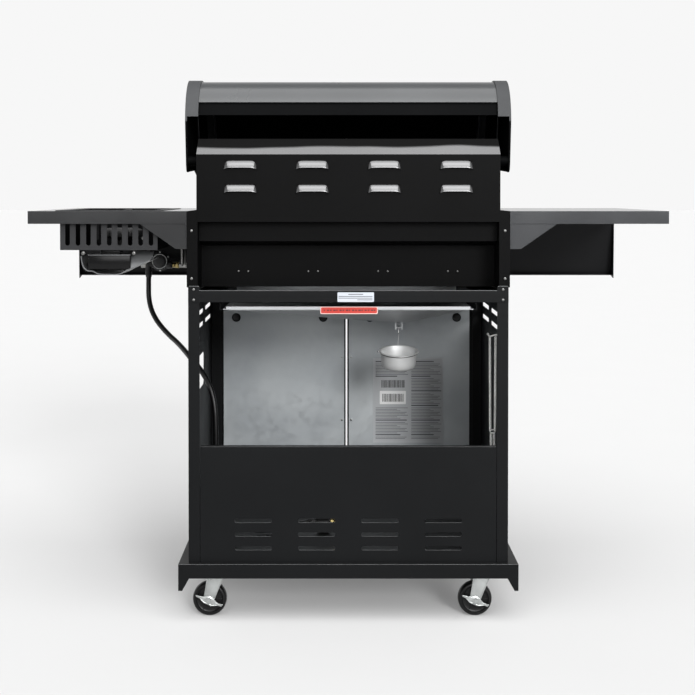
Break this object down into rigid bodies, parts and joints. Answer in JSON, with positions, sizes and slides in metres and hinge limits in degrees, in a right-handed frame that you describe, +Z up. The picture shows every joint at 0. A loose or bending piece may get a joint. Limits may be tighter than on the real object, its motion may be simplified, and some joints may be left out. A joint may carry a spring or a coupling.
{
  "type": "gas barbecue grill",
  "caption": "Free-standing gas barbecue on a cabinet cart with casters: hinged hood, side shelves, side burner, doors, drip tray with cup, hose and control knobs.",
  "frame": {"origin": "on the floor, under the middle of the grill", "axes": "+Z up, the front with the knobs and doors faces -Y, the side burner is on the +X shelf"},
  "size_m": [1.3, 0.584, 1.112],
  "materials": {
    "cart_black": "satin black powder coat on folded sheet steel, fine orange peel",
    "box_enamel": "heat-resistant black enamel, semi-matte",
    "stainless": "brushed stainless steel, straw tinted where it gets hot",
    "cast_iron": "cast iron with matte enamel, fine grain",
    "chrome_wire": "bright plated wire and pressed steel",
    "pipe_steel": "zinc plated steel",
    "moulded_black": "moulded black plastic, fine texture",
    "hose_rubber": "smooth black rubber with a soft sheen",
    "panel_grey": "dark grey powder coat outside, black inside",
    "shelf_grey": "graphite grey powder coat, satin",
    "zinc": "bright zinc plated pressed steel",
    "hood_grey": "graphite grey enamel with a smooth sheen",
    "liner_black": "matte black enamel",
    "cap_grey": "graphite grey paint on cast metal",
    "handle_steel": "brushed stainless steel",
    "galvanised": "galvanised sheet, dull blue grey with a soft spangle",
    "wheel_black": "moulded black nylon wheel with a smooth tread",
    "brass": "machined brass, slightly dull",
    "label_white": "printed film label with rules and blocks in place of wording",
    "label_red": "red film label with a pale border"
  },
  "bodies": {
    "cart": {"base_shelf": "cart_black", "side_panel_right": "cart_black", "side_panel_left": "cart_black", "rear_top_rail": "cart_black", "rear_lower_panel": "cart_black", "firebox_shell": "box_enamel", "louver_panel": "box_enamel", "burner_tubes": "stainless", "heat_plates": "stainless", "cooking_grates": "cast_iron", "warming_rack": "chrome_wire", "gas_manifold": "pipe_steel", "inlet_pipe": "pipe_steel", "regulator": "moulded_black", "hose_ferrule": "moulded_black", "gas_hose": "hose_rubber", "tank_connector": "moulded_black", "control_panel": "panel_grey", "side_shelf_right": "shelf_grey", "side_shelf_left": "shelf_grey", "shelf_fascias": "panel_grey", "side_burner_box": "shelf_grey", "side_burner": "cast_iron", "screws": "pipe_steel", "lighting_chain": "chrome_wire", "caster_plates": "zinc"},
    "hood": {"hood_skin": "hood_grey", "hood_liner": "liner_black", "hood_caps": "cap_grey", "hood_handle": "handle_steel", "thermometer": "handle_steel"},
    "right_door": {"door_right": "panel_grey", "door_liner_right": "galvanised", "door_handle_right": "handle_steel"},
    "left_door": {"door_left": "panel_grey", "door_liner_left": "galvanised", "door_handle_left": "handle_steel"},
    "tray": {"drip_tray": "galvanised"},
    "cup": {"grease_cup": "chrome_wire"},
    "button": {"ignition_button": "moulded_black"},
    "stem_body_1": {"stem_1": "pipe_steel"},
    "knob_body_1": {"knob_1": "moulded_black"},
    "stem_body_2": {"stem_2": "pipe_steel"},
    "knob_body_2": {"knob_2": "moulded_black"},
    "stem_body_3": {"stem_3": "pipe_steel"},
    "knob_body_3": {"knob_3": "moulded_black"},
    "stem_body_4": {"stem_4": "pipe_steel"},
    "knob_body_4": {"knob_4": "moulded_black"},
    "stem_body_side": {"stem_side": "pipe_steel"},
    "knob_body_side": {"knob_side": "moulded_black"},
    "fork_body_rear_right": {"fork_rear_right": "zinc"},
    "wheel_body_rear_right": {"wheel_rear_right": "wheel_black"},
    "brake_body_right": {"brake_lever_right": "zinc"},
    "fork_body_rear_left": {"fork_rear_left": "zinc"},
    "wheel_body_rear_left": {"wheel_rear_left": "wheel_black"},
    "brake_body_left": {"brake_lever_left": "zinc"},
    "fork_body_front_right": {"fork_front_right": "zinc"},
    "wheel_body_front_right": {"wheel_front_right": "wheel_black"},
    "fork_body_front_left": {"fork_front_left": "zinc"},
    "wheel_body_front_left": {"wheel_front_left": "wheel_black"}
  },
  "joints": [
    {"name": "hood_hinge", "type": "hinge", "parent": "cart", "child": "hood", "pos_m": [0, 0.2, 0.94], "axis": [-1, 0, 0], "range_deg": [0, 80]},
    {"name": "right_door_hinge", "type": "hinge", "parent": "cart", "child": "right_door", "pos_m": [0.316, -0.207, 0.4], "axis": [0, 0, 1], "range_deg": [0, 110]},
    {"name": "left_door_hinge", "type": "hinge", "parent": "cart", "child": "left_door", "pos_m": [-0.316, -0.207, 0.4], "axis": [0, 0, -1], "range_deg": [0, 110]},
    {"name": "tray_slide", "type": "slide", "parent": "cart", "child": "tray", "axis": [0, 1, 0], "range_m": [0, 0.35]},
    {"name": "cup_swing", "type": "hinge", "parent": "tray", "child": "cup", "pos_m": [-0.114, 0.041, 0.574], "axis": [1, 0, 0], "range_deg": [-15, 15]},
    {"name": "ignition_push", "type": "slide", "parent": "cart", "child": "button", "axis": [0, 0.9762, -0.2169], "range_m": [0, 0.004], "stiffness_N_per_m": 600},
    {"name": "knob_push_1", "type": "slide", "parent": "cart", "child": "stem_body_1", "axis": [0, 0.9762, -0.2169], "range_m": [0, 0.003], "stiffness_N_per_m": 900},
    {"name": "knob_turn_1", "type": "hinge", "parent": "stem_body_1", "child": "knob_body_1", "pos_m": [-0.219, -0.242, 0.762], "axis": [0, -0.9762, 0.2169], "range_deg": [0, 180]},
    {"name": "knob_push_2", "type": "slide", "parent": "cart", "child": "stem_body_2", "axis": [0, 0.9762, -0.2169], "range_m": [0, 0.003], "stiffness_N_per_m": 900},
    {"name": "knob_turn_2", "type": "hinge", "parent": "stem_body_2", "child": "knob_body_2", "pos_m": [-0.073, -0.242, 0.762], "axis": [0, -0.9762, 0.2169], "range_deg": [0, 180]},
    {"name": "knob_push_3", "type": "slide", "parent": "cart", "child": "stem_body_3", "axis": [0, 0.9762, -0.2169], "range_m": [0, 0.003], "stiffness_N_per_m": 900},
    {"name": "knob_turn_3", "type": "hinge", "parent": "stem_body_3", "child": "knob_body_3", "pos_m": [0.073, -0.242, 0.762], "axis": [0, -0.9762, 0.2169], "range_deg": [0, 180]},
    {"name": "knob_push_4", "type": "slide", "parent": "cart", "child": "stem_body_4", "axis": [0, 0.9762, -0.2169], "range_m": [0, 0.003], "stiffness_N_per_m": 900},
    {"name": "knob_turn_4", "type": "hinge", "parent": "stem_body_4", "child": "knob_body_4", "pos_m": [0.219, -0.242, 0.762], "axis": [0, -0.9762, 0.2169], "range_deg": [0, 180]},
    {"name": "knob_push_side", "type": "slide", "parent": "cart", "child": "stem_body_side", "axis": [0, 0.9762, -0.2169], "range_m": [0, 0.003], "stiffness_N_per_m": 900},
    {"name": "knob_turn_side", "type": "hinge", "parent": "stem_body_side", "child": "knob_body_side", "pos_m": [0.489, -0.242, 0.762], "axis": [0, -0.9762, 0.2169], "range_deg": [0, 180]},
    {"name": "swivel_rear_right", "type": "hinge", "parent": "cart", "child": "fork_body_rear_right", "pos_m": [0.274, 0.236, 0.085], "axis": [0, 0, 1], "continuous": true},
    {"name": "roll_rear_right", "type": "hinge", "parent": "fork_body_rear_right", "child": "wheel_body_rear_right", "pos_m": [0.286, 0.236, 0.035], "axis": [0, 1, 0], "continuous": true},
    {"name": "brake_right", "type": "hinge", "parent": "fork_body_rear_right", "child": "brake_body_right", "pos_m": [0.286, 0.236, 0.035], "axis": [0, 1, 0], "range_deg": [0, 35]},
    {"name": "swivel_rear_left", "type": "hinge", "parent": "cart", "child": "fork_body_rear_left", "pos_m": [-0.274, 0.236, 0.085], "axis": [0, 0, 1], "continuous": true},
    {"name": "roll_rear_left", "type": "hinge", "parent": "fork_body_rear_left", "child": "wheel_body_rear_left", "pos_m": [-0.262, 0.236, 0.035], "axis": [0, 1, 0], "continuous": true},
    {"name": "brake_left", "type": "hinge", "parent": "fork_body_rear_left", "child": "brake_body_left", "pos_m": [-0.262, 0.236, 0.035], "axis": [0, 1, 0], "range_deg": [0, 35]},
    {"name": "swivel_front_right", "type": "hinge", "parent": "cart", "child": "fork_body_front_right", "pos_m": [0.274, -0.176, 0.085], "axis": [0, 0, 1], "continuous": true},
    {"name": "roll_front_right", "type": "hinge", "parent": "fork_body_front_right", "child": "wheel_body_front_right", "pos_m": [0.286, -0.176, 0.035], "axis": [0, 1, 0], "continuous": true},
    {"name": "swivel_front_left", "type": "hinge", "parent": "cart", "child": "fork_body_front_left", "pos_m": [-0.274, -0.176, 0.085], "axis": [0, 0, 1], "continuous": true},
    {"name": "roll_front_left", "type": "hinge", "parent": "fork_body_front_left", "child": "wheel_body_front_left", "pos_m": [-0.262, -0.176, 0.035], "axis": [0, 1, 0], "continuous": true}
  ]
}
